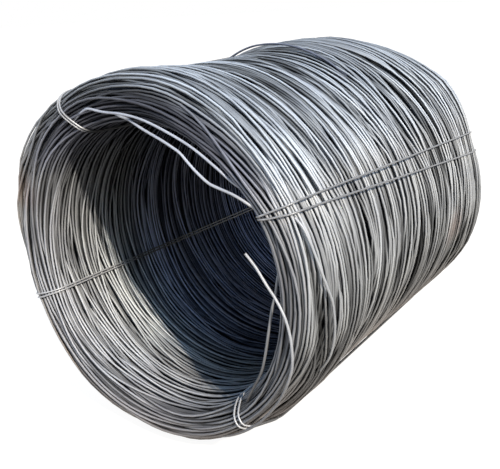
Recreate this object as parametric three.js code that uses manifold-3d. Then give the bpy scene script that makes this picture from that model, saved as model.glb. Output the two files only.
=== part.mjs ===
// Coil of hot-rolled wire rod, lying on its side and held by four double wire ties.
// Millimetres, +Z up. +X runs along the coil's axis, from the end with the loose turns to the other end.
// Angles go round the axis from +Y (0 degrees) over the top (90 degrees).

import * as THREE from "three";
import { mergeVertices } from "three/addons/utils/BufferGeometryUtils.js";
import Module from "manifold-3d";

// Rod and winding
const rodDiameter = 8;
const coilLength = 1440;
const boreDiameter = 980;
const outerDiameter = 1250; // over the fullest turns, near each end of the barrel
const waistDiameter = 1210;
const endDiameter = 1208;
const rimDepth = 45; // how far the end turns lie back at the edges of the wall
const turnGroove = 0.35 * rodDiameter; // between two turns on an end
const grooveDepth = 1.2 * rodDiameter; // between two bundles of turns
const grooveWidth = 1.5 * rodDiameter;
const facets = 32; // flats round the coil, one of them at the bottom

// Where the outside is fullest and slimmest, as shares of the length
const shoulderStart = 0.08;
const shoulderEnd = 0.16;
const waistAt = 0.36;
const bellyStart = 0.6;
const bellyEnd = 0.82;

// Where the outside swells or lies flatter than its turned section, mostly between the ties: the middle of
// each swell as an angle and a share of the length, how far it reaches each way, and its height in rod
// diameters
const swells = [
  { angle: 82, spread: 60, at: 0, along: 0.08, height: 1.875 },
  { angle: 82, spread: 60, at: 0.24, along: 0.1, height: -1.5 },
  { angle: 82, spread: 60, at: 0.75, along: 0.2, height: 1.125 },
  { angle: 222, spread: 26, at: 0.45, along: 0.6, height: -4 },
  { angle: 37, spread: 23, at: 0, along: 0.18, height: 4.5 },
  { angle: 103, spread: 14, at: 1, along: 0.18, height: -1.75 },
  { angle: 136, spread: 13, at: 1, along: 0.18, height: 2.25 },
  { angle: 163, spread: 14, at: 1, along: 0.18, height: -2.25 },
];

// Turns lying side by side in each bundle, repeated along the coil, and how far each bundle
// lies below the fullest ones, in rod diameters
const outerBundles = [[6, 1.8], [9, 0], [5, 1.4], [7, 0.3], [5, 0.7]];
const boreBundles = [[26, 0], [18, 1], [34, 0.4]];

// Ties
const tieDiameter = 6;
const tieClearance = 0.8; // between a tie and the fullest turns under it
const tieStep = 130; // longest straight stretch of a tie
const tieRoutes = [
  { nearAngle: 64.1, farAngle: 64.3, nearSpacing: 19, farSpacing: 38 },
  { nearAngle: 151.6, farAngle: 161.5, nearSpacing: 14, farSpacing: 85 },
  { nearAngle: 230.6, farAngle: 232.8, nearSpacing: 25, farSpacing: 38 },
  { nearAngle: 342, farAngle: 338.6, nearSpacing: 17, farSpacing: 30 },
];

// Loose turns and the free end of the rod, in the mouth of the bore. Each point is an angle, a place
// across the wall (0 at the bore, 1 outside, below 0 hanging in the bore), and a depth in from the
// near end in rod diameters. Both ends of a loose turn lie inside the winding.
const looseTurns = [
  [[67, 0.42, 4.2], [80, 0.2, 2.3], [92, 0.06, 2], [106, -0.05, 1.8], [119, -0.12, 1.8], [133, -0.09, 2],
    [143, 0.12, 2.6], [151, 0.44, 4.2]],
  [[78, 0.26, 4.4], [89, 0.06, 3], [98, -0.22, 2.4], [111, -0.42, 2.2], [120, -0.54, 2.2], [130, -0.56, 2.3],
    [138, -0.32, 2.5], [147, 0.06, 2.8], [154, 0.4, 4.2]],
  [[161, 0.4, 5], [169, 0.16, 2.8], [180, -0.16, 2.5], [195, -0.24, 2.5], [207, -0.16, 2.5], [218, 0, 2.8],
    [229, 0.24, 4.4]],
];
const freeEnd = [
  [162, -0.53, 0.4], [168, -0.32, 0], [175, -0.06, -0.1], [182, 0.26, 0], [190, 0.48, 0], [199, 0.68, 0.4],
  [207, 0.84, 2], [214, 0.86, 4.6],
];
const looseSides = 6;
const tieSides = 5;

const boreRadius = boreDiameter / 2;
const wall = endDiameter / 2 - boreRadius;

const wasm = await Module();
wasm.setup();

const rodSteel = new THREE.MeshStandardMaterial({ color: 0x9a9ea2, roughness: 0.45, metalness: 0.9 });
const tieSteel = new THREE.MeshStandardMaterial({ color: 0xb4b1ac, roughness: 0.4, metalness: 0.9 });

function easeBetween(start, end, from, to, x) {
  return from + (to - from) * THREE.MathUtils.smoothstep(x, start, end);
}

function outerRadiusAt(axial) {
  const share = axial / coilLength;
  const stations = [
    [0, shoulderStart, endDiameter, outerDiameter],
    [shoulderEnd, waistAt, outerDiameter, waistDiameter],
    [waistAt, bellyStart, waistDiameter, outerDiameter],
    [bellyEnd, 1, outerDiameter, endDiameter],
  ];
  const passed = stations.filter(([start]) => share >= start);
  const [start, end, from, to] = passed[passed.length - 1];
  return easeBetween(start, end, from, to, share) / 2;
}

// One side of the winding between the two rims. Each bundle is a flat land, with a groove before the next.
// Inward is 1 on the outside, where a groove goes towards the axis, and -1 in the bore.
function windingSide(pattern, turnedRadius, inward) {
  const available = coilLength - 2 * rimDepth;
  const patternTurns = pattern.reduce((sum, [turns]) => sum + turns, 0);
  const repeats = Math.max(1, Math.round(available / (patternTurns * rodDiameter)));
  const pitch = available / (repeats * patternTurns);
  const points = [];
  let start = rimDepth;
  for (let index = 0; index < repeats * pattern.length; index += 1) {
    const [turns, sink] = pattern[index % pattern.length];
    const end = start + turns * pitch;
    const radius = turnedRadius((start + end) / 2) - inward * sink * rodDiameter;
    if (index > 0) {
      const before = points[points.length - 1].x;
      const lower = inward > 0 ? Math.min(before, radius) : Math.max(before, radius);
      points.push(new THREE.Vector2(lower - inward * grooveDepth, start));
    }
    points.push(new THREE.Vector2(radius, start + grooveWidth / 2));
    points.push(new THREE.Vector2(radius, end - grooveWidth / 2));
    start = end;
  }
  return points;
}

// How far the outside stands out from its turned section, at an angle and a distance along the axis.
// The flat that the coil rests on, right at the bottom, stays as turned.
function swellAt(degrees, axial) {
  const away = (angle) => Math.abs(THREE.MathUtils.euclideanModulo(degrees - angle + 180, 360) - 180);
  const height = swells.reduce((sum, swell) => {
    const turned = away(swell.angle) / swell.spread;
    const along = (axial / coilLength - swell.at) / swell.along;
    return sum + swell.height * rodDiameter * Math.exp(-(turned * turned) - along * along);
  }, 0);
  const halfFlat = 180 / facets;
  return height * THREE.MathUtils.smoothstep(away(270), 1.01 * halfFlat, 5 * halfFlat);
}

// Radius at a corner of the faceted coil for a point of the turned section. The swells start at the
// middle of a rim and leave the bore round.
function cornerRadius(point, degrees) {
  const outside = THREE.MathUtils.clamp((point.x - boreRadius - wall / 2) / (wall / 2), 0, 1);
  return (point.x + outside * swellAt(degrees, point.y)) / Math.cos(Math.PI / facets);
}

// The turns across the wall at one end: a crest for each turn and a groove between two turns,
// lying on a rounded rim. Depth is measured into the coil from the proudest turn.
function rimTurns() {
  const count = Math.round(wall / rodDiameter);
  const depthAt = (across) => rimDepth * (1 - Math.sqrt(1 - across * across));
  const points = [];
  for (let index = 0; index < count; index += 1) {
    const centre = (index + 0.5) / count;
    points.push(new THREE.Vector2(boreRadius + wall * centre, depthAt(2 * centre - 1)));
    if (index < count - 1) {
      const between = (index + 1) / count;
      points.push(new THREE.Vector2(boreRadius + wall * between, depthAt(2 * between - 1) + turnGroove));
    }
  }
  return points;
}

// Section through the wall of the coil: radius to the flats, distance along the axis
function sectionOutline() {
  const rim = rimTurns();
  const nearEnd = rim.map((point) => point.clone());
  const farEnd = rim.map((point) => new THREE.Vector2(point.x, coilLength - point.y)).reverse();
  const outside = windingSide(outerBundles, outerRadiusAt, 1);
  const bore = windingSide(boreBundles, () => boreRadius, -1).reverse();
  return [...outside, ...farEnd, ...bore, ...nearEnd];
}

function merged(geometry) {
  const bare = geometry.clone();
  bare.deleteAttribute("normal");
  bare.deleteAttribute("uv");
  return mergeVertices(bare, 1e-3);
}

function toSolid(geometry) {
  const bare = merged(geometry);
  return new wasm.Manifold(new wasm.Mesh({
    numProp: 3,
    vertProperties: new Float32Array(bare.attributes.position.array),
    triVerts: new Uint32Array(bare.index.array),
  }));
}

function toGeometry(solid) {
  const mesh = solid.getMesh();
  const geometry = new THREE.BufferGeometry();
  geometry.setAttribute("position", new THREE.BufferAttribute(new Float32Array(mesh.vertProperties), 3));
  geometry.setIndex(new THREE.BufferAttribute(new Uint32Array(mesh.triVerts), 1));
  geometry.computeVertexNormals();
  return geometry;
}

// Radius of the faceted coil at any angle, where it crosses the flat between two corners
function radiusAt(point, degrees) {
  const step = 360 / facets;
  const before = (Math.floor(degrees / step - 0.5) + 0.5) * step;
  const from = cornerRadius(point, before);
  const to = cornerRadius(point, before + step);
  const sine = (angle) => Math.sin(THREE.MathUtils.degToRad(angle));
  return (from * to * sine(step)) / (from * sine(degrees - before) + to * sine(before + step - degrees));
}

function aroundAxis(degrees, radius, axial) {
  const angle = THREE.MathUtils.degToRad(degrees);
  return new THREE.Vector3(axial, radius * Math.cos(angle), radius * Math.sin(angle));
}

// The section turned round the axis, with each corner moved out or in by the swells
function turnedWinding(outline) {
  const rings = [...outline, outline[0]];
  const geometry = new THREE.LatheGeometry(rings, facets, Math.PI / facets);
  geometry.rotateZ(-Math.PI / 2);
  const places = geometry.attributes.position;
  for (let index = 0; index < places.count; index += 1) {
    const point = rings[index % rings.length];
    const degrees = THREE.MathUtils.radToDeg(Math.atan2(places.getZ(index), places.getY(index)));
    const corner = aroundAxis(degrees, cornerRadius(point, degrees), point.y);
    places.setXYZ(index, corner.x, corner.y, corner.z);
  }
  return geometry;
}

function looseRod(route) {
  const points = route.map(([angle, across, rodsIn]) => (
    aroundAxis(angle, boreRadius + across * wall, rodsIn * rodDiameter)
  ));
  const path = new THREE.CatmullRomCurve3(points);
  const section = new THREE.Shape();
  for (let side = 0; side < looseSides; side += 1) {
    const angle = (side / looseSides) * 2 * Math.PI;
    const move = side === 0 ? "moveTo" : "lineTo";
    section[move]((rodDiameter / 2) * Math.cos(angle), (rodDiameter / 2) * Math.sin(angle));
  }
  section.closePath();
  const steps = 2 * (route.length - 1);
  return new THREE.ExtrudeGeometry(section, { steps, extrudePath: path, bevelEnabled: false });
}

// Convex hull of the wall's section, anticlockwise
function hull(points) {
  const sorted = [...points].sort((a, b) => a.x - b.x || a.y - b.y);
  const turn = (a, b, c) => (b.x - a.x) * (c.y - a.y) - (b.y - a.y) * (c.x - a.x);
  const half = (list) => {
    const chain = [];
    for (const point of list) {
      while (chain.length > 1 && turn(chain[chain.length - 2], chain[chain.length - 1], point) < 1e-6) chain.pop();
      chain.push(point);
    }
    return chain.slice(0, -1);
  };
  return [...half(sorted), ...half([...sorted].reverse())];
}

// The hull moved outward by a distance: where the centre of a taut tie runs
function offsetHull(points, distance) {
  const count = points.length;
  return points.map((point, index) => {
    const before = new THREE.Vector2().subVectors(point, points[(index + count - 1) % count]).normalize();
    const after = new THREE.Vector2().subVectors(points[(index + 1) % count], point).normalize();
    const normalBefore = new THREE.Vector2(before.y, -before.x);
    const normalAfter = new THREE.Vector2(after.y, -after.x);
    const corner = normalBefore.add(normalAfter);
    return point.clone().addScaledVector(corner, (2 * distance) / corner.lengthSq());
  });
}

// A closed run of points, with long stretches split into equal steps
function withSteps(points, step) {
  return points.flatMap((point, index) => {
    const next = points[(index + 1) % points.length];
    const count = Math.ceil(point.distanceTo(next) / step);
    return Array.from({ length: count }, (_, part) => point.clone().lerp(next, part / count));
  });
}

// A closed path whose equal steps land on its points
class LoopPath extends THREE.Curve {
  constructor(points) {
    super();
    this.points = points;
  }

  point(index) {
    const count = this.points.length;
    return this.points[((index % count) + count) % count];
  }

  getPointAt(share, target = new THREE.Vector3()) {
    return target.copy(this.point(Math.round(share * this.points.length)));
  }

  getTangentAt(share, target = new THREE.Vector3()) {
    const index = Math.round(share * this.points.length);
    const before = this.point(index).clone().sub(this.point(index - 1)).normalize();
    const after = this.point(index + 1).clone().sub(this.point(index)).normalize();
    return target.copy(before.add(after).normalize());
  }
}

// One strand of a tie: a closed loop round the wall, along the outside and back through the bore
function tieStrand(section, route, side) {
  const angleAt = (axial) => {
    const share = axial / coilLength;
    const spacing = THREE.MathUtils.lerp(route.nearSpacing, route.farSpacing, share);
    const turned = THREE.MathUtils.radToDeg((side * spacing) / outerDiameter);
    return THREE.MathUtils.lerp(route.nearAngle, route.farAngle, share) + turned;
  };
  const under = section.map((point) => new THREE.Vector2(radiusAt(point, angleAt(point.y)), point.y));
  const course = withSteps(offsetHull(hull(under), tieDiameter / 2 + tieClearance), tieStep);
  const points = course.map((point) => aroundAxis(angleAt(point.y), point.x, point.y));
  return merged(new THREE.TubeGeometry(new LoopPath(points), points.length, tieDiameter / 2, tieSides, true));
}

function named(name, geometry, material) {
  const mesh = new THREE.Mesh(geometry, material);
  mesh.name = name;
  return mesh;
}

const section = sectionOutline();
const coil = new THREE.Group();

let winding = toSolid(turnedWinding(section));
for (const route of [...looseTurns, freeEnd]) {
  winding = winding.add(toSolid(looseRod(route)));
}
coil.add(named("rod_coil", toGeometry(winding), rodSteel));

tieRoutes.forEach((route, index) => {
  coil.add(named(`wire_tie_${index + 1}_a`, tieStrand(section, route, 1), tieSteel));
  coil.add(named(`wire_tie_${index + 1}_b`, tieStrand(section, route, -1), tieSteel));
});

coil.position.set(-coilLength / 2, 0, outerDiameter / 2);

export default coil;
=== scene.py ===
import math

import bpy
import numpy as np
from mathutils import Matrix, Vector


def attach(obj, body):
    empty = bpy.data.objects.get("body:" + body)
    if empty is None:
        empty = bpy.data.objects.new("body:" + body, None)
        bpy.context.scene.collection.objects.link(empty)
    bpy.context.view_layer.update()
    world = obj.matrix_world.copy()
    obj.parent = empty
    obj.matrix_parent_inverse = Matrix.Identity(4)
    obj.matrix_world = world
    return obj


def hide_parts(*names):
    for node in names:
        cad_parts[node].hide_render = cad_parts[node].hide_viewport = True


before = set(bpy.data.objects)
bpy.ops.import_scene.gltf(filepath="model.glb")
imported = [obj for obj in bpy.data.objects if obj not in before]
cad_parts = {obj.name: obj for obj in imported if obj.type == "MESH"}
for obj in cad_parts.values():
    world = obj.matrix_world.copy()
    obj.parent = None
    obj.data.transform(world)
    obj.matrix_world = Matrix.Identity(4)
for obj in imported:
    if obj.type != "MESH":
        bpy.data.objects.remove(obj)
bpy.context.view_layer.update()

mm = 0.001
print("frame loaded:", len(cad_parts), "nodes")


# camera, sun, sky and floor

cameraSetup = {
    "place": (-2.1799, -1.4767, 1.4388),
    "right": (0.57211, -0.81837, -0.05439),
    "up": (0.29351, 0.14236, 0.94530),
    "lens": 50.48,
    "sensor": 36,
    "farthest": 200,
}

lighting = {
    "sunPlace": (-3, -4, 3),
    "sunAlong": (0.345, 0.709, -0.616),
    "sunStrength": 3.6,
    "sunAngle": 1.5,
    "sunColour": (1.0, 0.92, 0.82),
    "bouncePlace": (-1, 4, 1),
    "bounceAlong": (-0.2, -0.95, -0.1),
    "bounceStrength": 0.85,
    "bounceAngle": 70,
    "bounceColour": (1.0, 0.93, 0.85),
    "skyColour": (0.42, 0.64, 1.0),
    "skyOverhead": 1.5,
    "skyAtHorizon": 0.07,
    "skyRise": (0.3, 0.95),
    "floorColour": (0.20, 0.165, 0.13),
    "floorWhite": 0.94,
    "floorRadius": 60,
    "floorSides": 96,
}


def addCamera(setup):
    bpy.ops.object.camera_add(location=setup["place"])
    camera = bpy.context.object
    camera.name = "yardCamera"
    right = Vector(setup["right"]).normalized()
    up = Vector(setup["up"])
    up = (up - up.dot(right) * right).normalized()
    turned = Matrix((right, up, right.cross(up))).transposed().to_4x4()
    turned.translation = setup["place"]
    camera.matrix_world = turned
    camera.data.lens = setup["lens"]
    camera.data.sensor_width = setup["sensor"]
    camera.data.clip_end = setup["farthest"]
    bpy.context.scene.camera = camera


def addSun(name, place, along, strength, angle, colour):
    bpy.ops.object.light_add(type="SUN", location=place)
    sun = bpy.context.object
    sun.name = name
    sun.rotation_mode = "QUATERNION"
    sun.rotation_quaternion = Vector(along).to_track_quat("-Z", "Y")
    sun.data.energy = strength
    sun.data.angle = math.radians(angle)
    sun.data.color = colour


def addNode(tree, kind, **settings):
    made = tree.nodes.new("ShaderNode" + kind)
    for key, value in settings.items():
        setattr(made, key, value)
    return made


def addShare(tree, value, low, high, **settings):  # a value read as 0 at the low mark and 1 at the high one
    share = addNode(tree, "MapRange", **settings)
    share.inputs["From Min"].default_value = low
    share.inputs["From Max"].default_value = high
    tree.links.new(value, share.inputs["Value"])
    return share


def backgroundRays(tree):  # 1 where a ray sees the background: from the camera, or off metal
    rays = addNode(tree, "LightPath")
    seen = rays.outputs["Is Camera Ray"]
    for other in ("Is Glossy Ray", "Is Transmission Ray"):
        both = addNode(tree, "Math", operation="MAXIMUM")
        tree.links.new(seen, both.inputs[0])
        tree.links.new(rays.outputs[other], both.inputs[1])
        seen = both.outputs[0]
    return seen


def addSky(setup):
    world = bpy.data.worlds.new("openSky")
    bpy.context.scene.world = world
    world.use_nodes = True
    tree = world.node_tree
    tree.nodes.clear()
    sky = addNode(tree, "Background")
    sky.inputs["Color"].default_value = (*setup["skyColour"], 1)
    direction = addNode(tree, "TexCoord")
    parts = addNode(tree, "SeparateXYZ")
    tree.links.new(direction.outputs["Generated"], parts.inputs[0])
    rise = addShare(tree, parts.outputs["Z"], *setup["skyRise"], interpolation_type="SMOOTHSTEP")
    rise.inputs["To Min"].default_value = setup["skyAtHorizon"]
    rise.inputs["To Max"].default_value = setup["skyOverhead"]
    tree.links.new(rise.outputs[0], sky.inputs["Strength"])
    white = addNode(tree, "Background")
    white.inputs["Color"].default_value = (1, 1, 1, 1)
    mix = addNode(tree, "MixShader")
    tree.links.new(backgroundRays(tree), mix.inputs[0])
    tree.links.new(sky.outputs[0], mix.inputs[1])
    tree.links.new(white.outputs[0], mix.inputs[2])
    tree.links.new(mix.outputs[0], addNode(tree, "OutputWorld").inputs[0])


def addFloor(setup):
    bpy.ops.object.select_all(action="DESELECT")
    bpy.ops.mesh.primitive_circle_add(vertices=setup["floorSides"], radius=setup["floorRadius"],
                                      fill_type="NGON")
    floor = bpy.context.object
    floor.name = "paleFloor"
    material = bpy.data.materials.new("paleFloor")
    material.use_nodes = True
    tree = material.node_tree
    tree.nodes.clear()
    ground = addNode(tree, "BsdfDiffuse")
    ground.inputs["Color"].default_value = (*setup["floorColour"], 1)
    white = addNode(tree, "Emission")
    white.inputs["Color"].default_value = (1, 1, 1, 1)
    glow = addNode(tree, "Math", operation="MULTIPLY")
    tree.links.new(backgroundRays(tree), glow.inputs[0])
    glow.inputs[1].default_value = setup["floorWhite"]
    tree.links.new(glow.outputs[0], white.inputs["Strength"])
    both = addNode(tree, "AddShader")
    tree.links.new(ground.outputs[0], both.inputs[0])
    tree.links.new(white.outputs[0], both.inputs[1])
    tree.links.new(both.outputs[0], addNode(tree, "OutputMaterial").inputs[0])
    floor.data.materials.append(material)


bpy.context.scene.view_settings.view_transform = "Standard"
addCamera(cameraSetup)
addSun("lowSun", lighting["sunPlace"], lighting["sunAlong"], lighting["sunStrength"], lighting["sunAngle"],
       lighting["sunColour"])
addSun("yardBounce", lighting["bouncePlace"], lighting["bounceAlong"], lighting["bounceStrength"],
       lighting["bounceAngle"], lighting["bounceColour"])
addSky(lighting)
addFloor(lighting)
print("camera, light and floor are in")


# the wall's section: where its skin runs, measured in mm from the near end and from the axis

wall = {
    "nearEnd": -720,
    "axisHeight": 625,
    "length": 1440,
    "boreRadius": 490,
    "endRadius": 604,
    "rimDepth": 45,
    "cell": 2,
    "stations": 72,
    "rimStep": 3,
    "rimBlend": 60,
    "flankSteps": 400,
    "profileStep": 10,
    "profileSoftness": 3,
    "slopeReach": 4,
    "bendSoftness": 8,
    "lobeSpread": 1.4,
    "leanDepth": 60,
    "endZone": 60,
    "meanProfile": ((0, 604), (60, 616), (115, 625), (230, 625), (518, 605), (864, 625), (1180, 625),
                    (1340, 614), (1440, 604)),
    "topProfile": ((0, 620), (58, 630), (173, 620), (317, 608), (461, 604), (648, 603), (770, 611),
                   (880, 632), (1080, 633), (1267, 628), (1382, 608), (1440, 598)),
    "flankProfile": ((0, 562), (58, 581), (173, 608), (317, 591), (461, 584), (648, 585), (864, 588),
                     (1080, 596), (1267, 604), (1382, 607), (1440, 586)),
    "topAngle": 82,
    "topReach": 60,
    "flankAngle": 222,
    "flankReach": 30,
    "nearLobes": ((0, 15), (15, 31), (30, 42), (45, 27), (60, 9), (75, 4), (90, -4), (130, 0), (200, 0),
                  (213, -7), (224, -8), (236, -6), (250, -10), (262, -12), (285, -6), (296, 8), (308, 16),
                  (325, 10), (340, 3)),
    "farLobes": ((50, 0), (90, -3), (103, -15), (118, -3), (136, 17), (148, 3), (162, -18), (180, -3),
                 (200, 9), (220, -11), (250, -4), (300, 0)),
    "lobeReach": 260,
    "lipLobes": ((122, 0), (138, 6), (149, 14), (157, 12), (170, 7), (186, 0), (300, 0)),
    "lipReach": 110,
    "nearLean": ((40, 0), (62, -4), (80, -8), (95, -2), (110, 8), (125, 13), (140, 13), (155, 8), (175, 3),
                 (200, 0)),
}
stationAngle = np.arange(wall["stations"]) * 2 * np.pi / wall["stations"]


def smoothLine(values, reach):  # a soft average along a line of values
    steps = np.arange(-3 * reach, 3 * reach + 1)
    weights = np.exp(-0.5 * (steps / reach) ** 2)
    padded = np.pad(values, 3 * reach, mode="edge")
    return np.convolve(padded, weights / weights.sum(), mode="valid")


def profileRadius(x, profile):
    even = np.arange(0, wall["length"] + 1, wall["profileStep"])
    radii = smoothLine(np.interp(even, *zip(*profile)), wall["profileSoftness"])
    return np.interp(x, even, radii)


def angleShare(degrees, reach):  # 1 at an angle, falling off on both sides of it
    away = (np.degrees(stationAngle) - degrees + 180) % 360 - 180
    return np.exp(-((away / reach) ** 2))


def wallSkin():
    half = (wall["endRadius"] - wall["boreRadius"]) / 2
    middle = wall["boreRadius"] + half
    rim, length, blend = wall["rimDepth"], wall["length"], wall["rimBlend"]
    turn = np.radians(np.arange(0, 91, wall["rimStep"]))
    rising, falling = np.sin(turn), np.cos(turn)
    flank = np.linspace(rim, length - rim, wall["flankSteps"])[1:-1]
    outsideLift = profileRadius(flank, wall["meanProfile"]) - wall["endRadius"]
    outsideLift *= np.clip((flank - rim) / blend, 0, 1) * np.clip((length - rim - flank) / blend, 0, 1)
    x = np.concatenate([rim * (1 - falling), flank, length - rim * (1 - rising),
                        length - rim * (1 - falling)[1:], flank[::-1], rim * (1 - rising)[:-1]])
    r = np.concatenate([middle + half * rising, wall["endRadius"] + outsideLift, middle + half * falling,
                        middle - half * rising[1:], np.full(len(flank), wall["boreRadius"]),
                        middle - half * falling[:-1]])
    outside = np.concatenate([rising, np.ones(len(flank)), falling, np.zeros(len(turn) - 1 + len(flank)),
                              np.zeros(len(turn) - 1)])
    run = np.concatenate([[0], np.cumsum(np.hypot(np.diff(x), np.diff(r)))])
    perimeter = run[-1] + math.hypot(x[0] - x[-1], r[0] - r[-1])
    cells = int(perimeter / wall["cell"])
    even = np.arange(cells) * perimeter / cells
    closed = [np.append(values, values[0]) for values in (x, r, outside)]
    x, r, outside = (np.interp(even, np.append(run, perimeter), values) for values in closed)
    return perimeter, x, r, outside


perimeter, skinX, skinR, skinOutside = wallSkin()
cellCount = len(skinX)
cellSize = perimeter / cellCount
print("section skin:", round(perimeter), "mm round, cells", cellCount)


def ringSlope(values):
    reach = wall["slopeReach"]
    return (np.roll(values, -reach) - np.roll(values, reach)) / (2 * reach * cellSize)


def cellsUnder(path):  # the cells of the skin that a turn runs over
    return np.round(path / cellSize).astype(int) % cellCount


def skinNormals():
    dx, dr = ringSlope(skinX), ringSlope(skinR)
    size = np.hypot(dx, dr)
    normalX, normalR = -dr / size, dx / size
    turning = np.unwrap(np.arctan2(normalR, normalX))
    bend = np.gradient(turning, cellSize)
    bend[:2] = bend[2]
    bend[-2:] = bend[-3]
    bend = -smoothLine(bend, wall["bendSoftness"])
    return normalX, normalR, np.clip(bend, 0, None)


normalX, normalR, skinBend = skinNormals()
meanRadius = profileRadius(skinX, wall["meanProfile"])
topLift = profileRadius(skinX, wall["topProfile"]) - meanRadius
flankLift = profileRadius(skinX, wall["flankProfile"]) - meanRadius
skinRadius = skinR[:, None] + skinOutside[:, None] * (
    topLift[:, None] * angleShare(wall["topAngle"], wall["topReach"])
    + flankLift[:, None] * angleShare(wall["flankAngle"], wall["flankReach"]))


def lobes(table):  # the wall stands out or in between the ties
    angles, lifts = np.array(table, float).T
    return np.interp(np.degrees(stationAngle), angles, lifts, period=360)


def nearness(distance, reach=wall["lobeReach"]):
    return np.exp(-((distance / reach) ** 2))[:, None]


lobeShare = np.clip(skinOutside * wall["lobeSpread"], 0, 1)[:, None]
skinRadius += lobeShare * (nearness(skinX) * lobes(wall["nearLobes"])
                           + nearness(wall["length"] - skinX) * lobes(wall["farLobes"]))
lipShare = np.clip(wall["lobeSpread"] * (1 - skinOutside), 0, 1)[:, None]
skinRadius += lipShare * nearness(skinX, wall["lipReach"]) * lobes(wall["lipLobes"])
acrossWall = np.clip((skinR - wall["boreRadius"]) / (wall["endRadius"] - wall["boreRadius"]), 0, 1)
leanShare = np.where(skinX < wall["leanDepth"], -np.sin(2 * np.pi * acrossWall), 0)[:, None]
skinLean = leanShare * lobes(wall["nearLean"])


# the winding: turns are laid one after another on a map of how high the lower ones reach

winding = {
    "rodDiameter": 8,
    "drawnThicker": 1.02,
    "contact": 8.7,
    "coreDepth": 36,
    "rimFill": 10,
    "proudest": 11,
    "seed": 11,
    "unevenness": 3.5,
    "layers": (
        {"rodPitch": 10.5, "bundle": (2, 7), "gap": 7, "wander": 16, "looseness": 3},
        {"rodPitch": 10.5, "bundle": (2, 6), "gap": 10, "wander": 22, "looseness": 4},
        {"rodPitch": 10.5, "bundle": (2, 7), "gap": 28, "wander": 30, "looseness": 5},
    ),
    "fillers": 400,
    "hollow": (31, 21),
    "nearFill": ((0, 36), (100, 34), (200, 0)),
    "bundleShade": 0.16,
    "turnShade": 0.1,
    "fillerReach": 60,
    "fillerSteepest": 3,
    "fillerFloor": 20,
    "fillerBendCost": 2.0,
    "fillerSoftness": 1.6,
    "fillerTried": 99,
    "fillerBeside": 3,
    "fillerAround": 2,
    "dive": 16,
    "diveSoftness": 1.2,
    "diveSpread": 1.6,
    "bridge": 3,
    "tightest": 0.3,
    "coreWaveSize": 1.7,
    "coreRise": 3,
    "rimFillBend": 80,
    "coreWaves": (13, 17, 21, 26, 31, 37),
    "strayShare": 0.6,
    "driftKept": 0.72,
    "driftAdded": 0.69,
    "pitchSpread": (0.82, 1.2),
    "gapSpread": (0.2, 1.8),
    "diveOutside": 0.9,
    "flankBend": 0.002,
    "rimBend": 0.01,
    "borePitch": 0.92,
    "boreCalm": ((0, 0.8), (350, 0.7), (550, 0.3), (1440, 0.3)),
}
rng = np.random.default_rng(winding["seed"])
ringSteps = np.arange(wall["stations"])


slowWaves = ((1, 1.0), (2, 0.8), (3, 0.65), (4, 0.5), (5, 0.38), (6, 0.28), (7, 0.18))
quickWaves = ((1, 0.5), (2, 0.6), (3, 0.6), (4, 0.5), (5, 0.4), (6, 0.3), (8, 0.15))


def wander(reach, waves=slowWaves):  # how a turn strays sideways on its way round
    strayed = np.zeros(wall["stations"])
    for count, share in waves:
        size = reach * share * rng.normal() * winding["strayShare"]
        strayed += size * np.cos(count * stationAngle + rng.uniform(0, 2 * np.pi))
    return strayed


def ringSmooth(values, reach):
    steps = np.arange(-3 * int(reach + 1), 3 * int(reach + 1) + 1)
    weights = np.exp(-0.5 * (steps / reach) ** 2)
    weights /= weights.sum()
    return sum(weight * np.roll(values, step) for weight, step in zip(weights, steps))


def bridged(values):  # a stiff rod spans the dips between its highest supports
    reach = winding["bridge"]
    highest = np.max([np.roll(values, step) for step in range(-reach, reach + 1)], axis=0)
    return ringSmooth(highest, reach / 2)


def settle(lowest):
    height = bridged(lowest)
    for _ in range(3):
        height = height + bridged(np.maximum(lowest - height, 0))
    return height


def tightness(cells, height):  # how much narrower a step along the skin is at this height
    return np.clip(1 - (winding["coreDepth"] - height) * skinBend[cells], winding["tightest"], 1)


def layTurn(path, dives=False):  # a turn that dives drops where it is too proud, and may cut others
    cells = cellsUnder(path)
    height = settle(heightMap[cells, ringSteps])
    highest = winding["coreDepth"] + winding["proudest"] - winding["rodDiameter"] / 2
    if dives:
        under = ringSmooth((height > highest).astype(float), winding["diveSoftness"])
        height = height - winding["dive"] * np.clip(under * winding["diveSpread"], 0, 1)
    elif height.max() > highest:
        return None
    around = int(winding["rodDiameter"] / cellSize / winding["tightest"]) + 1
    for step in range(-around, around + 1):
        beside = (cells + step) % cellCount
        away = np.abs((np.round(path / cellSize) + step) * cellSize - path) * tightness(cells, height)
        reach = height + np.sqrt(np.clip(winding["contact"] ** 2 - away ** 2, 0, None))
        reach = np.where(away < winding["contact"], reach, 0)
        heightMap[beside, ringSteps] = np.maximum(heightMap[beside, ringSteps], reach)
    return {"path": path, "height": height}


def unevenCore():
    bulge = np.zeros((cellCount, wall["stations"]))
    along = np.arange(cellCount)[:, None] / cellCount * 2 * np.pi
    for waves in winding["coreWaves"]:
        twist = rng.integers(-2, 3)
        bulge += np.cos(waves * along + twist * stationAngle[None, :] + rng.uniform(0, 2 * np.pi))
    rimFill = winding["rimFill"] * np.clip(skinBend * winding["rimFillBend"], 0, 1)[:, None]
    uneven = winding["unevenness"] * bulge / winding["coreWaveSize"] + winding["coreRise"]
    return winding["rodDiameter"] / 2 + rimFill + np.clip(uneven, 0, None)


heightMap = unevenCore()
turns = []


def stepAlong(place, pitch):  # the same step on the rod's own level is longer along the skin of a rim
    here = int(place / cellSize) % cellCount
    closeness = winding["borePitch"] + (1 - winding["borePitch"]) * skinOutside[here]
    return pitch * closeness / float(tightness(here, heightMap[here].mean()))


def calmness(place):  # turns lie closer and straighter deep in the bore
    cell = int(place / cellSize) % cellCount
    calm = np.interp(skinX[cell], *zip(*winding["boreCalm"]))
    return calm + (1 - calm) * skinOutside[cell]


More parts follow.
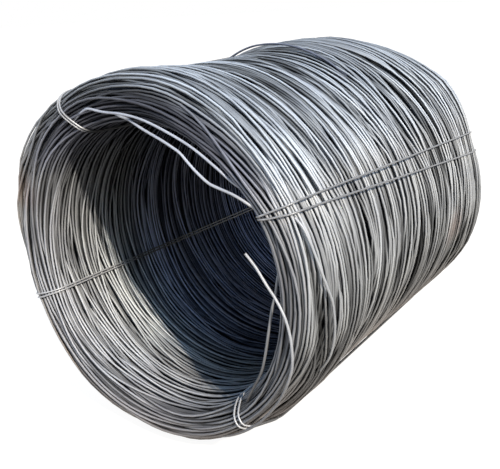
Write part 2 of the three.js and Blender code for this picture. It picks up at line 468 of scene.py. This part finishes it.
def onOutside(path):
    return skinOutside[int(path.mean() / cellSize) % cellCount] > winding["diveOutside"]


def tellHeights(stage):
    told = (("flank", skinBend < winding["flankBend"]), ("rim", skinBend > winding["rimBend"]))
    for zoneName, chosen in told:
        heights = np.round(np.percentile(heightMap[chosen], [5, 50, 95]), 1)
        print(stage, len(turns), "turns", zoneName, heights)


for layer in winding["layers"]:
    bundles = []
    place = 0
    drift = wander(layer["wander"])
    while place < perimeter:
        calm = calmness(place)
        drift = winding["driftKept"] * drift + winding["driftAdded"] * calm * wander(layer["wander"])
        bundle = []
        for _ in range(rng.integers(*layer["bundle"])):
            bundle.append(place + drift + calm * wander(layer["looseness"], quickWaves))
            place += stepAlong(place, layer["rodPitch"] * rng.uniform(*winding["pitchSpread"]))
        bundles.append(bundle)
        place += stepAlong(place, calmness(place) * layer["gap"] * rng.uniform(*winding["gapSpread"]))
    last = layer is winding["layers"][-1]
    for index in rng.permutation(len(bundles)):
        laid = [layTurn(path, dives=last and onOutside(path)) for path in bundles[index]]
        shade = rng.normal(1, winding["bundleShade"])
        turns += [{**turn, "shade": shade} for turn in laid if turn]
    tellHeights("layer laid:")


def bothWays(reach):
    return np.arange(-reach, reach + 1)


def hollowPath(cell, station):  # the way round from a hollow that stays in the lowest hollows
    reach = int(winding["fillerReach"] / cellSize)
    steepest = winding["fillerSteepest"]
    count = wall["stations"]
    offsets = bothWays(reach)
    stations = (station + np.arange(count)) % count
    heights = heightMap[(cell + offsets[None, :]) % cellCount, stations[:, None]]
    climb = np.clip(heights - winding["fillerFloor"], 0, None) ** 2
    moves = bothWays(steepest)
    cost = np.where(offsets == 0, 0.0, np.inf)
    choices = []
    for step in range(1, count + 1):
        padded = np.pad(cost, steepest, constant_values=np.inf)
        options = np.array([padded[steepest - move:len(cost) + steepest - move]
                            + winding["fillerBendCost"] * move ** 2 for move in moves])
        choices.append(np.argmin(options, axis=0))
        cost = np.min(options, axis=0) + climb[step % count]
    at = reach
    route = []
    for choice in reversed(choices):
        at -= moves[choice[at]]
        route.append(offsets[at])
    path = np.empty(count)
    strayed = ringSmooth(np.array(route[::-1], float), winding["fillerSoftness"])
    path[stations] = cell * cellSize + cellSize * strayed
    return path


# where turns part and let the ones below show: angle, mm from the near end, half width
grooves = (
    {"depth": 15, "line": ((152, 25, 2), (162, 25, 5), (170, 35, 8), (176, 44, 14), (182, 58, 18),
                           (188, 70, 13), (196, 82, 4))},
    {"depth": 9, "line": ((108, 17, 3), (116, 21, 5), (123, 27, 6), (130, 31, 8), (136, 35, 4))},
    {"depth": 13, "line": ((150, 356, 4), (158, 348, 9), (164, 349, 8), (170, 352, 6), (176, 357, 3))},
)


def pressIn(turn):
    cells = cellsUnder(turn["path"])
    around = np.degrees(stationAngle)
    for groove in grooves:
        angles, middles, widths = np.array(groove["line"], float).T
        away = (skinX[cells] - np.interp(around, angles, middles)) / np.interp(around, angles, widths)
        share = skinOutside[cells] * np.exp(-(away ** 2)) * ((around > angles[0]) & (around < angles[-1]))
        turn["height"] = turn["height"] - groove["depth"] * share


levelWanted = np.interp(skinOutside, (0, 1), winding["hollow"])[:, None]
levelWanted = np.maximum(levelWanted, np.interp(skinX, *zip(*winding["nearFill"]))[:, None])
tried = np.zeros(heightMap.shape)
for _ in range(winding["fillers"]):  # the last turns drop into whatever hollows are left
    missing = levelWanted - heightMap - tried
    cell, station = np.unravel_index(np.argmax(missing), missing.shape)
    if missing[cell, station] < 0:
        break
    turns.append({**layTurn(hollowPath(cell, station), dives=True), "shade": 1})
    beside = (cell + bothWays(winding["fillerBeside"])) % cellCount
    around = (station + bothWays(winding["fillerAround"])) % wall["stations"]
    tried[beside[:, None], around] = winding["fillerTried"]
for turn in turns:
    pressIn(turn)
tellHeights("fillers laid:")
windingTop = heightMap - winding["rodDiameter"] / 2
levels = np.round(np.percentile(windingTop, [5, 25, 50, 75, 95, 99]), 1)
print("top of the winding, mm over the core:", levels)


def skinPoint(path, height):
    at = path / cellSize
    low = np.floor(at).astype(int)
    part = at - low
    low, high = low % cellCount, (low + 1) % cellCount

    def between(values):
        return values[low] * (1 - part) + values[high] * part

    depth = winding["coreDepth"] - height
    radius = skinRadius[low, ringSteps] * (1 - part) + skinRadius[high, ringSteps] * part
    lean = skinLean[low, ringSteps] * (1 - part) + skinLean[high, ringSteps] * part
    return between(skinX) + lean - depth * between(normalX), radius - depth * between(normalR)


def turnPoints(turn):
    x, r = skinPoint(turn["path"], turn["height"])
    z = wall["axisHeight"] + r * np.sin(stationAngle)
    z = np.maximum(z, winding["rodDiameter"] / 2)
    return mm * np.column_stack([wall["nearEnd"] + x, r * np.cos(stationAngle), z])


def selectOnly(piece):
    bpy.ops.object.select_all(action="DESELECT")
    piece.select_set(True)
    bpy.context.view_layer.objects.active = piece


def vertexPlaces(piece):
    places = np.empty(len(piece.data.vertices) * 3, np.float32)
    piece.data.vertices.foreach_get("co", places)
    return places.reshape(-1, 3)


def drawWires(name, routes, thickness, closed=True):
    line = bpy.data.curves.new(name, "CURVE")
    line.dimensions = "3D"
    line.bevel_depth = thickness / 2
    line.bevel_resolution = 1
    line.use_fill_caps = not closed
    for route in routes:
        spline = line.splines.new("POLY")
        spline.points.add(len(route) - 1)
        spline.points.foreach_set("co", np.column_stack([route, np.ones(len(route))]).ravel())
        spline.use_cyclic_u = closed
    made = bpy.data.objects.new(name, line)
    bpy.context.scene.collection.objects.link(made)
    selectOnly(made)
    bpy.ops.object.convert(target="MESH")
    bpy.ops.object.shade_smooth()
    return bpy.context.object


# painted light and shade: bore, deepBore and alongBore darken the bore deeper in and on its unlit side and
# lighten its sunlit patch; nearInner and nearOuter paint the near end's shaded lip dark and its lit rods
# light; aroundOutside, alongOutside, farSide and outerBrightest paint the sunlit band, the darker underside
# and the far end; the crown tables paint each rod light along its crown and dark at its sides; the cast ramps
# tint the steel with the yard's warm light and the sky's blue. Only steel and rust are the steel's own colour
scale = {
    "bore": ((0, 0.95), (15, 0.72), (30, 0.5), (60, 0.2), (90, 0.1), (130, 0.13), (180, 0.26), (230, 0.38),
             (250, 0.42), (262, 0.55), (273, 0.84), (315, 1.18), (345, 1.06)),
    "deepBore": ((0, 0.95), (15, 0.65), (30, 0.4), (60, 0.16), (90, 0.11), (130, 0.13), (180, 0.24),
                 (230, 0.25), (250, 0.22), (270, 0.35), (290, 0.75), (315, 1.3), (345, 1.4)),
    "nearInner": ((0, 1.0), (30, 0.72), (60, 0.37), (75, 0.22), (100, 0.24), (120, 0.34), (135, 0.62),
                  (150, 0.7), (175, 0.5), (200, 0.4), (230, 0.44), (250, 0.5), (270, 0.68), (300, 0.85)),
    "nearOuter": ((0, 1.6), (35, 1.4), (60, 1.05), (90, 1.15), (140, 1.17), (155, 1.27), (185, 1.22),
                  (200, 0.8), (215, 0.55), (240, 0.54), (262, 0.7), (280, 1.0), (300, 1.15), (345, 1.5)),
    "middleTone": 0.85,
    "brightest": 0.88,
    "overBrightest": 0.35,
    "outerBrightest": ((0, 1.2), (95, 1.1), (125, 0.85), (150, 0.85), (165, 0.95), (182, 1.15), (230, 1.3),
                       (300, 1.2)),
    "outerSpread": 1.5,
    "crownLevels": (-1, 0, 0.6, 0.95),
    "outsideCrown": (0.22, 0.44, 0.87, 0.98),
    "boreCrown": (0.03, 0.19, 0.72, 1.25),
    "deepCrown": (0.02, 0.08, 0.5, 2.0),
    "alongBore": ((0, 1), (300, 1), (450, 0.72), (650, 0.5), (1440, 0.3)),
    "patchScale": 14,
    "patchDetail": 6,
    "castAlong": (-0.72, 0.72),
    "castAcross": (-0.2, 0.62),
    "shineTones": (0.05, 0.5),
    "steel": ((0.3, (0.64, 0.65, 0.67)), (0.62, (0.80, 0.81, 0.81))),
    "insideCast": ((0, (0.91, 0.91, 0.93)), (0.26, (0.83, 0.86, 0.84)), (0.36, (0.66, 0.72, 0.92)),
                   (0.6, (0.62, 0.69, 0.98))),
    "insideRise": ((0, (1, 0.90, 0.84)), (0.1, (1, 0.94, 0.90)), (0.2, (1, 1, 1)), (0.9, (1, 1, 1)),
                   (1, (0.85, 0.87, 1))),
    "outsideCast": ((0, (0.44, 0.36, 0.305)), (0.25, (0.46, 0.415, 0.38)), (0.42, (0.53, 0.52, 0.50)),
                    (0.65, (0.77, 0.78, 0.77)), (0.92, (0.87, 0.88, 0.88)), (1, (0.87, 0.93, 0.99))),
    "leftCast": ((0, (1, 1, 1)), (0.55, (1, 1, 1)), (1, (1, 0.92, 0.84))),
    "alongOutside": ((0, 1.06), (120, 1.03), (360, 0.9), (640, 0.84), (840, 0.9), (1080, 1.02), (1280, 0.92),
                     (1380, 0.9), (1440, 0.68)),
    "aroundOutside": ((0, 1), (50, 0.65), (70, 0.42), (84, 0.42), (96, 0.53), (108, 0.62), (120, 0.69),
                      (134, 0.93), (147, 1.1), (158, 1.12), (170, 1.03), (180, 1.0), (192, 0.8),
                      (204, 0.88), (216, 1.14), (228, 1.5), (240, 1.22), (255, 0.9), (300, 1)),
    "contrastNear": ((0, 0.5), (45, 0.55), (70, 0.9), (120, 0.9), (145, 0.7), (165, 0.7), (190, 1), (290, 1),
                     (320, 0.55)),
    "contrastMiddle": ((60, 1), (85, 1.7), (108, 1.5), (124, 0.8), (142, 0.5), (160, 0.58), (178, 1.2),
                       (205, 1.4), (228, 1.45), (255, 1.1), (280, 1)),
    "contrastFar": ((60, 1), (85, 0.6), (108, 0.65), (124, 0.75), (142, 1.15), (165, 1.45), (200, 1.4),
                    (240, 1.1), (280, 1)),
    "farBuriedShade": ((-7, 1.22), (-3, 1.1), (1, 0.84), (6, 0.52), (14, 0.38)),
    "farReach": ((120, 0), (450, 0.85), (800, 1), (1200, 1.35)),
    "farSide": ((0, 1), (165, 1), (180, 0.88), (195, 0.76), (225, 0.85), (250, 1), (300, 1)),
    "rust": ((1, 0.84, 0.78), (((0.33, -0.62, 0.56), 0.11), ((-0.70, 0.55, 0.84), 0.10))),
    "worn": ((-8, 1.25), (-4, 1.08), (0, 0.78), (5, 0.4), (10, 0.2), (18, 0.09)),
}


# where one tone gives way to the next, in mm from the near end: either how far it reaches, or from where and
# over what length
toneReach = {
    "nearEdge": 60,
    "nearPart": 220,
    "deepBore": (190, 110),
    "farSide": (500, 300),
    "deepCrown": (250, 200),
    "contrastNear": 150,
    "contrastFar": (650, 350),
}


def fadeOut(x, name):  # 1 at the near end
    return np.exp(-((x / toneReach[name]) ** 2))


def fadeIn(x, name):  # 0 up to a place, then rising to 1
    start, length = toneReach[name]
    return np.clip((x - start) / length, 0, 1)


def shadeAround(table):
    angles, shades = np.array(scale[table], float).T
    return np.interp(np.degrees(stationAngle), angles, shades, period=360)


shadedStretches = {
    "seed": 5,
    "share": 0.32,
    "every": 3,
    "together": (1, 4),
    "arc": (35, 110),
    "loss": 0.72,
}
shadedStretchRng = np.random.default_rng(shadedStretches["seed"])
for start in range(0, len(turns), shadedStretches["every"]):  # painted shade: some neighbouring turns are painted dark for a stretch, standing for the shadow in gaps where turns lie lower
    together = shadedStretchRng.integers(*shadedStretches["together"])
    stretch = angleShare(shadedStretchRng.uniform(0, 360), shadedStretchRng.uniform(*shadedStretches["arc"]))
    kept = shadedStretchRng.random() < shadedStretches["share"]
    for turn in turns[start:start + together]:
        turn["dull"] = kept * shadedStretches["loss"] * stretch


def contrastOf(turn):  # how far light and dark turns stand apart, round the outside: the spread of the painted light and shade, set by angle and length
    cells = cellsUnder(turn["path"])
    x = skinX[cells]
    near, far = fadeOut(x, "contrastNear"), fadeIn(x, "contrastFar")
    spread = shadeAround("contrastMiddle") * (1 - near - far)
    spread += shadeAround("contrastNear") * near + shadeAround("contrastFar") * far
    return 1 + (spread - 1) * skinOutside[cells]


def turnShade(turn):  # painted shade and light: buried turns are painted dark for the shade they lie in, and the tables paint the lit and shaded zones of the bore and round the outside
    covered = winding["coreDepth"] - turn["height"]
    worn = np.interp(covered, *zip(*scale["worn"]))
    cells = cellsUnder(turn["path"])
    x = skinX[cells]
    nearEdge, nearPart = fadeOut(x, "nearEdge"), fadeOut(x, "nearPart")
    deep = fadeIn(x, "deepBore")
    inside = shadeAround("bore") * (1 - deep) + shadeAround("deepBore") * deep
    inside *= np.interp(x, *zip(*scale["alongBore"]))
    inside += (shadeAround("nearInner") - inside) * nearEdge
    outside = np.interp(x, *zip(*scale["alongOutside"])) * shadeAround("aroundOutside")
    farPart = np.interp(x, *zip(*scale["farReach"]))
    # painted shade: further along the coil, lower turns are painted darker and proud ones lighter
    outside *= 1 + farPart * (np.interp(covered, *zip(*scale["farBuriedShade"])) - 1)
    outside *= 1 + fadeIn(x, "farSide") * (shadeAround("farSide") - 1)
    outside = outside * (1 - nearPart + shadeAround("nearOuter") * nearPart)
    own = worn * turn["shade"] * rng.normal(1.0, winding["turnShade"])
    own *= 1 - turn.get("dull", 0) * skinOutside[cells] * (1 - nearEdge)
    own = scale["middleTone"] * (own / scale["middleTone"]) ** contrastOf(turn)
    shade = own * (inside + (outside - inside) * skinOutside[cells])
    # the painted light is capped softly above the brightest tone
    brightest = scale["brightest"] + (shadeAround("outerBrightest") - scale["brightest"]) * skinOutside[cells]
    return np.where(shade > brightest, brightest + scale["overBrightest"] * (shade - brightest), shade)


def paintedRodShades(piece, members, sides, inBore):  # painted shade: lightest along a rod's crown and dark beside its neighbours, where shade falls between rods; deep in the bore the crown is painted as a thin highlight
    points = vertexPlaces(piece).reshape(len(members), wall["stations"], sides, 3) / mm
    shades = np.empty(points.shape[:3])
    for turn, spots, shade in zip(members, points, shades):
        centre = spots.mean(axis=1, keepdims=True)
        cells = cellsUnder(turn["path"])
        outward = np.column_stack([normalX[cells], normalR[cells] * np.cos(stationAngle),
                                   normalR[cells] * np.sin(stationAngle)])
        crown = np.sum((spots - centre) * outward[:, None, :], axis=2) / (winding["rodDiameter"] / 2)
        deep = inBore * fadeIn(np.mean(skinX[cells]), "deepCrown")
        crownShades = np.array(scale["boreCrown" if inBore else "outsideCrown"])
        crownShades = crownShades * (1 - deep) + np.array(scale["deepCrown"]) * deep
        crownShade = np.interp(crown, scale["crownLevels"], crownShades) ** contrastOf(turn)[:, None]
        shade[:] = turnShade(turn)[:, None] * crownShade
    return shades.ravel()


def outerShares(members, sides):  # 1 on the outside of the wall, 0 in the bore
    shares = [np.clip(scale["outerSpread"] * skinOutside[cellsUnder(turn["path"])], 0, 1) for turn in members]
    return np.repeat(np.concatenate(shares), sides)


def addValues(piece, name, values):
    attribute = piece.data.attributes.new(name, "FLOAT", "POINT")
    attribute.data.foreach_set("value", np.broadcast_to(np.float32(values), len(piece.data.vertices)).copy())


def addRamp(tree, value, stops):
    ramp = addNode(tree, "ValToRGB")
    marks = ramp.color_ramp.elements
    while len(marks) < len(stops):
        marks.new(0.5)
    for mark, (level, colour) in zip(marks, stops):
        mark.position = level
        mark.color = (*colour, 1)
    tree.links.new(value, ramp.inputs["Fac"])
    return ramp.outputs["Color"]


def addProduct(tree, first, second):
    product = addNode(tree, "VectorMath", operation="MULTIPLY")
    tree.links.new(first, product.inputs[0])
    tree.links.new(second, product.inputs[1])
    return product.outputs[0]


def addMix(tree, share, first, second):
    mix = addNode(tree, "Mix", data_type="RGBA")
    tree.links.new(share, mix.inputs["Factor"])
    tree.links.new(first, mix.inputs["A"])
    tree.links.new(second, mix.inputs["B"])
    return mix.outputs["Result"]


def paintedLightCast(tree, place):  # painted light and shade: tints the yard's warm light and the sky's blue onto the steel, darker and warmer low on the outside and bluer deep in the bore
    parts = addNode(tree, "SeparateXYZ")
    tree.links.new(place, parts.inputs[0])
    along = addShare(tree, parts.outputs["X"], *scale["castAlong"]).outputs[0]
    across = addShare(tree, parts.outputs["Y"], *scale["castAcross"]).outputs[0]
    inside = addProduct(tree, addRamp(tree, along, scale["insideCast"]),
                        addRamp(tree, parts.outputs["Z"], scale["insideRise"]))
    outside = addProduct(tree, addRamp(tree, parts.outputs["Z"], scale["outsideCast"]),
                         addRamp(tree, across, scale["leftCast"]))
    outer = addNode(tree, "Attribute", attribute_name="outer")
    return addMix(tree, outer.outputs["Fac"], inside, outside)


def withRust(tree, place, colour):
    rustTint, rustSpots = scale["rust"]
    for centre, radius in rustSpots:
        away = addNode(tree, "VectorMath", operation="DISTANCE")
        tree.links.new(place, away.inputs[0])
        away.inputs[1].default_value = centre
        share = addShare(tree, away.outputs["Value"], radius, 0, interpolation_type="SMOOTHSTEP")
        stained = addNode(tree, "VectorMath", operation="MULTIPLY")
        tree.links.new(colour, stained.inputs[0])
        stained.inputs[1].default_value = rustTint
        colour = addMix(tree, share.outputs[0], colour, stained.outputs[0])
    return colour


def rodSteel(name, metallic, gloss, roughness):
    material = bpy.data.materials.new(name)
    material.use_nodes = True
    tree = material.node_tree
    shader = tree.nodes["Principled BSDF"]
    place = addNode(tree, "TexCoord").outputs["Object"]
    patches = addNode(tree, "TexNoise")
    patches.inputs["Scale"].default_value = scale["patchScale"]
    patches.inputs["Detail"].default_value = scale["patchDetail"]
    tree.links.new(place, patches.inputs["Vector"])
    steel = addRamp(tree, patches.outputs["Fac"], scale["steel"])
    coloured = withRust(tree, place, addProduct(tree, steel, paintedLightCast(tree, place)))
    tone = addNode(tree, "Attribute", attribute_name="tone").outputs["Fac"]
    toned = addNode(tree, "VectorMath", operation="SCALE")
    tree.links.new(coloured, toned.inputs[0])
    tree.links.new(tone, toned.inputs["Scale"])
    tree.links.new(toned.outputs[0], shader.inputs["Base Color"])
    # painted shade also dims the gloss: the specular level falls where the tone is painted dark
    shine = addShare(tree, tone, *scale["shineTones"])
    shine.inputs["To Max"].default_value = gloss
    tree.links.new(shine.outputs[0], shader.inputs["Specular IOR Level"])
    shader.inputs["Metallic"].default_value = metallic
    shader.inputs["Roughness"].default_value = roughness
    return material


# the bore's steel is the same steel without metal and with less gloss: a shaded copy that keeps the bore dark
outsideSteel = rodSteel("outsideSteel", 0.2, 0.5, 0.5)
boreSteel = rodSteel("boreSteel", 0.0, 0.3, 0.40)


def zoneOf(turn):
    place = float(np.mean(turn["path"])) % perimeter
    x = np.interp(place, np.arange(cellCount) * cellSize, skinX)
    radius = np.interp(place, np.arange(cellCount) * cellSize, skinR)
    if x < wall["endZone"]:
        return "turns_near_end"
    if x > wall["length"] - wall["endZone"]:
        return "turns_far_end"
    side = "bore" if radius < (wall["boreRadius"] + wall["endRadius"]) / 2 else "outside"
    return f"turns_{side}_" + ("near", "middle", "far")[min(int(3 * x / wall["length"]), 2)]


zones = {}
for turn in turns:
    zones.setdefault(zoneOf(turn), []).append(turn)
for name, members in sorted(zones.items()):
    thickness = winding["rodDiameter"] * mm * winding["drawnThicker"]
    piece = drawWires(name, [turnPoints(turn) for turn in members], thickness)
    inBore = "bore" in name
    sides = len(piece.data.vertices) // (len(members) * wall["stations"])
    addValues(piece, "tone", paintedRodShades(piece, members, sides, inBore))
    addValues(piece, "outer", outerShares(members, sides))
    piece.data.materials.append(boreSteel if inBore else outsideSteel)
    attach(piece, "root")
    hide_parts("rod_coil")
    triangles = sum(len(face.vertices) - 2 for face in piece.data.polygons)
    print(name, len(members), "turns,", triangles, "triangles")


def addCore():
    # the imported turns underneath, which only show as darkness between the upper ones; their low tone is
    # painted shade
    skinStep = 12
    tone, outer = 0.2, 0.5
    depth = winding["coreDepth"]
    cells = np.arange(0, cellCount, skinStep)
    points = []
    for cell in cells:
        r = skinRadius[cell] - depth * normalR[cell]
        x = np.full(wall["stations"], skinX[cell] - depth * normalX[cell])
        z = np.maximum(wall["axisHeight"] + r * np.sin(stationAngle), winding["rodDiameter"] / 2)
        points.append(mm * np.column_stack([wall["nearEnd"] + x, r * np.cos(stationAngle), z]))
    points = np.concatenate(points)
    faces = []
    count, rings = wall["stations"], len(cells)
    for ring in range(rings):
        for station in range(count):
            a, b = ring * count, (ring + 1) % rings * count
            after = (station + 1) % count
            faces.append((a + station, a + after, b + after, b + station))
    mesh = bpy.data.meshes.new("inner_turns")
    mesh.from_pydata(points.tolist(), [], faces)
    core = bpy.data.objects.new("inner_turns", mesh)
    bpy.context.scene.collection.objects.link(core)
    selectOnly(core)
    bpy.ops.object.mode_set(mode="EDIT")
    bpy.ops.mesh.select_all(action="SELECT")
    bpy.ops.mesh.normals_make_consistent(inside=False)
    bpy.ops.object.mode_set(mode="OBJECT")
    addValues(core, "tone", tone)
    addValues(core, "outer", outer)
    core.data.materials.append(boreSteel)
    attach(core, "root")
    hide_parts("rod_coil")


addCore()

# the loose turns at the near end and the free end: angle, mm from the near end, mm from the axis

strays = {
    "loose_turn_upper": ((55, 60, 530), (59.4, 24, 535), (65.4, 2, 536), (68.2, -2, 539), (71, -5, 542),
                         (73.6, -6, 540), (79.2, -4, 520), (88.1, -4, 508), (97.5, -5, 499), (109, -8, 491),
                         (119.3, -8, 492), (129.6, -6, 495), (136.5, 6, 496), (141, 24, 502), (147, 60, 520)),
    "loose_turn_lower": ((74, 60, 530), (82, 24, 505), (87.7, 14, 492), (90.3, 4, 490), (94.5, 0, 477),
                         (99.6, -4, 467), (105.6, -7, 461), (110.7, -9, 458), (115.8, -11, 456),
                         (120.5, -12, 447), (125.2, -12, 442), (131.2, -12, 445), (135.2, -12, 460),
                         (139.9, -12, 485), (143.3, -10, 501), (145.9, -4, 510), (149, 14, 518),
                         (152, 45, 524)),
    "loose_loop_bore": ((160, 75, 530), (166, 45, 500), (171.6, 30, 484), (177, 22, 475), (182.3, 18, 464),
                        (192.2, 18, 458), (202.5, 18, 466), (209.7, 18, 476), (218.5, 20, 484),
                        (226, 30, 500), (233, 70, 530)),
    "loose_loop_edge": ((155, 60, 540), (164, 22, 513), (177, 18, 507), (188.6, 18, 504), (205, 20, 506),
                        (216, 34, 520), (226, 60, 540)),
    "free_end": ((160.3, 0, 420), (166.2, 0, 442), (172.7, -2, 468), (177.0, -7, 496), (182, -13, 526),
                 (187.3, -14, 545), (191.5, -14, 556), (195.2, -13, 564), (199, -12, 569), (206, -11, 571),
                 (214, -9, 571), (224, -6, 570), (234, 0, 568), (244, 12, 566), (252, 30, 564)),
    "proud_turn_flank": ((154.6, 22, 606), (157.6, 24, 616), (161.7, 29, 619), (165.8, 36, 619),
                         (169.6, 43, 621), (174.3, 57, 623), (178.6, 74, 625), (182.8, 83, 626),
                         (187.2, 92, 626), (192, 99, 625), (196.9, 103, 621), (202, 105, 608)),
    "proud_turn_top": ((58, 800, 600), (66, 798, 616), (72, 796, 628), (78, 793, 637), (84, 790, 641),
                       (92, 787, 641), (100, 785, 636), (110, 783, 626), (120, 780, 614)),
}


def coilPoint(angle, x, r):
    turned = math.radians(angle)
    across, up = r * math.cos(turned), r * math.sin(turned)
    return mm * np.array([wall["nearEnd"] + x, across, wall["axisHeight"] + up])


def easedLine(points, between=8):  # a smooth line through the points
    points = np.asarray(points, float)
    padded = np.vstack([2 * points[0] - points[1], points, 2 * points[-1] - points[-2]])
    part = np.linspace(0, 1, between, endpoint=False)[:, None]
    line = []
    for a, b, c, d in zip(padded, padded[1:], padded[2:], padded[3:]):
        line.append(0.5 * (2 * b + (c - a) * part + (2 * a - 5 * b + 4 * c - d) * part ** 2
                           + (3 * b - a - 3 * c + d) * part ** 3))
    return np.vstack([*line, points[-1:]])


strayLook = {
    "drawnThicker": 1.04,
    # the strays are darker towards the bottom
    "toneHeights": (0.38, 0.47),
    "tones": (0.5, 0.95),
    "outer": 0.5,
    # painted shade: the turns listed here are painted darker for the shade they lie in; the top turn is seen
    # from its unlit side
    "inShade": {
        "loose_loop_bore": 0.6,
        "loose_loop_edge": 0.7,
        "proud_turn_flank": 0.9,
        "proud_turn_top": 0.35,
    },
}
for name, route in strays.items():
    thickness = winding["rodDiameter"] * mm * strayLook["drawnThicker"]
    strand = drawWires(name, [easedLine([coilPoint(*point) for point in route])], thickness, closed=False)
    tones = np.interp(vertexPlaces(strand)[:, 2], strayLook["toneHeights"], strayLook["tones"])
    addValues(strand, "tone", tones * strayLook["inShade"].get(name, 1))
    addValues(strand, "outer", strayLook["outer"])
    strand.data.materials.append(outsideSteel)
    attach(strand, "root")
    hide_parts("rod_coil")
print("loose turns:", len(strays))


# the ties: each is two strands pulled tight round the wall, so they span the rods' outermost points

ties = {
    "diameter": 6,
    "spacing": 6,
    "slack": 1.5,
    "roundPoints": 12,
    "bend": 2,
    "colour": (0.38, 0.38, 0.38),
    "metallic": 0.3,
    "roughness": 0.38,
    "rimDepth": 45,
    # painted shade and light on the wires: darker deep in the bore, under the top and low down, lighter at
    # the near end
    "shaded": {"past": 12, "over": 950, "tone": 0.25},
    "boreTone": ((0, 1.6), (30, 1.5), (330, 1.4), (420, 0.4), (1440, 0.3)),
    "heightTone": ((0, 0.3), (250, 0.4), (450, 0.7), (650, 0.75)),
    "endTone": ((0, 2), (350, 1.8), (600, 1), (950, 1), (1150, 1.3)),
    "strands": {
        "wire_tie_1_a": {"near": 60.6, "bore": 65.6, "far": 66.0},
        "wire_tie_1_b": {"near": 59.4, "bore": 64.4, "far": 62.5},
        "wire_tie_2_a": {"near": 153.3, "bore": 150.5, "far": 164.8},
        "wire_tie_2_b": {"near": 151.0, "bore": 149.9, "far": 157.2},
        "wire_tie_3_a": {"near": 231.8, "bore": 231.8, "far": 236.0},
        "wire_tie_3_b": {"near": 229.8, "bore": 229.4, "far": 233.5},
        "wire_tie_4_a": {"near": 342.8, "bore": 342.6, "far": 339.6},
        "wire_tie_4_b": {"near": 341.2, "bore": 341.6, "far": 338.0},
    },
}


def convexHull(points):
    points = sorted(map(tuple, points))

    def half(chosen):
        line = []
        for point in chosen:
            while len(line) > 1 and ((line[-1][0] - line[-2][0]) * (point[1] - line[-2][1])
                                     - (line[-1][1] - line[-2][1]) * (point[0] - line[-2][0])) <= 0:
                line.pop()
            line.append(point)
        return line[:-1]

    return np.array(half(points) + half(points[::-1]))


def tieAngle(strand, x, r):
    across = np.clip((r - wall["boreRadius"]) / (wall["endRadius"] - wall["boreRadius"]), 0, 1)
    near = strand["bore"] + (strand["near"] - strand["bore"]) * across
    return near + (strand["far"] - near) * np.clip(x / wall["length"], 0, 1)


def tieRoute(strand):
    reach = winding["rodDiameter"] / 2 + ties["diameter"] / 2 + ties["slack"]
    around = np.linspace(0, 2 * np.pi, ties["roundPoints"], endpoint=False)
    spots = []
    for x, r in turnSections:
        angle = strand["near"]
        for _ in range(3):
            station = angle / 360 * wall["stations"]
            xHere = float(np.interp(station, sectionSteps, x))
            rHere = float(np.interp(station, sectionSteps, r))
            angle = float(tieAngle(strand, xHere, rHere))
        spots.append(np.column_stack([xHere + reach * np.cos(around), rHere + reach * np.sin(around)]))
    hull = convexHull(np.vstack(spots))
    corners = np.vstack([hull, hull[:1]])
    run = np.concatenate([[0], np.cumsum(np.hypot(*np.diff(corners, axis=0).T))])
    even = np.linspace(0, run[-1], int(run[-1] / ties["spacing"]), endpoint=False)
    x, r = (ringSmooth(np.interp(even, run, values), ties["bend"])[::2] for values in corners.T)
    return np.array([coilPoint(*spot) for spot in zip(tieAngle(strand, x, r), x, r)])


def wireTone(piece):  # painted light and shade: the wires are painted dark deep in the bore, under the top and low down, and light at the near end where the sun falls
    x, y, z = vertexPlaces(piece).T / mm
    x -= wall["nearEnd"]
    inBore = np.hypot(y, z - wall["axisHeight"]) < (wall["boreRadius"] + wall["endRadius"]) / 2
    shaded = ties["shaded"]
    underTop = (x > shaded["past"]) & (z > shaded["over"])
    inside = np.interp(x, *zip(*ties["boreTone"])) * np.where(underTop, shaded["tone"], 1)
    atEnd, along = np.interp(z, *zip(*ties["endTone"])), np.interp(z, *zip(*ties["heightTone"]))
    outside = np.where(x < ties["rimDepth"], atEnd, along)
    return np.where(inBore, inside, outside)


def tieSteel():
    material = bpy.data.materials.new("tieSteel")
    material.use_nodes = True
    tree = material.node_tree
    shader = tree.nodes["Principled BSDF"]
    tone = addNode(tree, "Attribute", attribute_name="tone")
    dulled = addNode(tree, "VectorMath", operation="SCALE")
    dulled.inputs[0].default_value = ties["colour"]
    tree.links.new(tone.outputs["Fac"], dulled.inputs["Scale"])
    tree.links.new(dulled.outputs[0], shader.inputs["Base Color"])
    shader.inputs["Metallic"].default_value = ties["metallic"]
    shader.inputs["Roughness"].default_value = ties["roughness"]
    return material


brightWire = tieSteel()
sectionSteps = np.arange(wall["stations"] + 1)
turnSections = []
for turn in turns:
    x, r = skinPoint(turn["path"], turn["height"])
    turnSections.append((np.append(x, x[0]), np.append(r, r[0])))
for name, strand in ties["strands"].items():
    piece = drawWires(name.replace("wire_", ""), [tieRoute(strand)], ties["diameter"] * mm)
    addValues(piece, "tone", wireTone(piece))
    piece.data.materials.append(brightWire)
    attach(piece, "root")
    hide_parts(name)
print("ties:", len(ties["strands"]), "strands")
